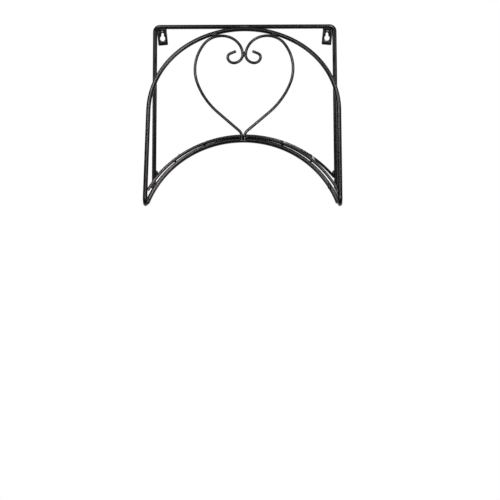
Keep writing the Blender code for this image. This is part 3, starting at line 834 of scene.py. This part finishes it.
def aim_camera():
    """The photograph's view: from in front, a little above the saddle, looking slightly down."""
    data = bpy.data.cameras.new("front_view")
    data.lens = LENS
    data.sensor_width = FILM
    data.clip_end = CLIP_END
    yaw, pitch, roll = (math.radians(angle) for angle in GAZE)
    level_share = math.cos(pitch)
    forward = Vector((math.sin(yaw) * level_share, math.cos(yaw) * level_share, -math.sin(pitch)))
    level = forward.cross(Z_AXIS).normalized()
    rise = level.cross(forward)
    right = level * math.cos(roll) + rise * math.sin(roll)
    up = right.cross(forward)
    camera = bpy.data.objects.new("front_view", data)
    turn = Matrix((right, up, -forward)).transposed().to_4x4()
    camera.matrix_world = Matrix.Translation(EYE) @ turn
    bpy.context.scene.collection.objects.link(camera)
    bpy.context.scene.camera = camera


def hang_lamp(name, place, side, watts):
    """A square soft lamp that faces the hanger."""
    data = bpy.data.lights.new(name, "AREA")
    data.shape = "RECTANGLE"
    data.size, data.size_y = side, side
    data.energy = watts
    lamp = bpy.data.objects.new(name, data)
    aim = Vector(LAMP_AIM) - Vector(place)
    turn = aim.to_track_quat("-Z", "Y").to_matrix().to_4x4()
    lamp.matrix_world = Matrix.Translation(place) @ turn
    bpy.context.scene.collection.objects.link(lamp)


def seen_directly(tree, behind=None):
    """1 for rays from the camera and for mirrored or refracted ones (times behind), else 0."""
    path = node(tree, "ShaderNodeLightPath")
    through = path.outputs["Is Transmission Ray"]
    mirrored = maths(tree, "MAXIMUM", path.outputs["Is Glossy Ray"], through)
    if behind is not None:
        mirrored = maths(tree, "MULTIPLY", mirrored, behind)
    return maths(tree, "MAXIMUM", path.outputs["Is Camera Ray"], mirrored)


def light_room():
    """A dim room with a white backdrop behind the hanger, and soft lamps in front of it."""
    world = bpy.data.worlds.new("studio")
    bpy.context.scene.world = world
    world.use_nodes = True
    tree = world.node_tree
    soft = tree.nodes["Background"]
    soft.inputs["Color"].default_value = WHITE
    soft.inputs["Strength"].default_value = ROOM_LIGHT
    white = node(tree, "ShaderNodeBackground", (("Strength", 1.0),))
    white.inputs["Color"].default_value = WHITE
    towards = node(tree, "ShaderNodeTexCoord").outputs["Generated"]
    depth = node(tree, "ShaderNodeSeparateXYZ", ((0, towards),)).outputs["Y"]
    backdrop = spread(tree, depth, *BACKDROP_SPAN, 0.0, 1.0)
    links = ((0, seen_directly(tree, backdrop)), (1, soft.outputs[0]), (2, white.outputs[0]))
    mixed = node(tree, "ShaderNodeMixShader", links)
    tree.links.new(mixed.outputs[0], tree.nodes["World Output"].inputs["Surface"])
    for lamp in LAMPS:
        hang_lamp(*lamp)


def lay_floor():
    """A pale floor well below and behind the hanger, plain white around its shaded patch."""
    work = bmesh.new()
    bmesh.ops.create_grid(work, x_segments=1, y_segments=1, size=FLOOR_HALF)
    bmesh.ops.translate(work, verts=work.verts, vec=FLOOR_MIDDLE)
    mesh = bpy.data.meshes.new("floor")
    work.to_mesh(mesh)
    work.free()
    made = bpy.data.materials.new("pale_floor")
    made.use_nodes = True
    tree = made.node_tree
    shader = tree.nodes["Principled BSDF"]
    shader.inputs["Base Color"].default_value = FLOOR_COLOUR
    shader.inputs["Roughness"].default_value = FLOOR_ROUGHNESS
    shader.inputs["Specular IOR Level"].default_value = FLOOR_SPECULAR
    white = node(tree, "ShaderNodeEmission", (("Color", WHITE), ("Strength", 1.0)))
    links = ((1, shader.outputs[0]), (2, white.outputs[0]))
    mixed = node(tree, "ShaderNodeMixShader", links)
    place = node(tree, "ShaderNodeTexCoord").outputs["Object"]
    links = ((0, place), (1, SHADE_MIDDLE))
    away = node(tree, "ShaderNodeVectorMath", links, operation="DISTANCE").outputs["Value"]
    fade = spread(tree, away, *SHADE_SPAN, SHADE_WHITE, 1.0)
    tree.links.new(maths(tree, "MULTIPLY", seen_directly(tree), fade), mixed.inputs[0])
    tree.links.new(mixed.outputs[0], tree.nodes["Material Output"].inputs["Surface"])
    mesh.materials.append(made)
    floor = bpy.data.objects.new("floor", mesh)
    bpy.context.scene.collection.objects.link(floor)


bpy.context.scene.view_settings.view_transform = "Standard"

PEEL = orange_peel_group()
TONE = coat_tone_group()
WORN = worn_spot_group()
SATIN = satin_paint(PEEL, TONE)
WELD = weld_paint(PEEL, TONE, ripple_group())

bend_back_frame(SATIN)
bend_front_hoop(SATIN)
bend_saddle(SATIN)
lay_rods(SATIN)
for SIDE_NAME, SIDE in SIDES:
    bend_heart(SIDE_NAME, SIDE, SATIN)
    cut_tab(SIDE_NAME, SIDE, tab_paint(PEEL, TONE, WORN, SIDE_NAME, SPOTS[SIDE_NAME]))
lay_top_beads(WELD)
lay_saddle_beads(WELD)

aim_camera()
light_room()
lay_floor()
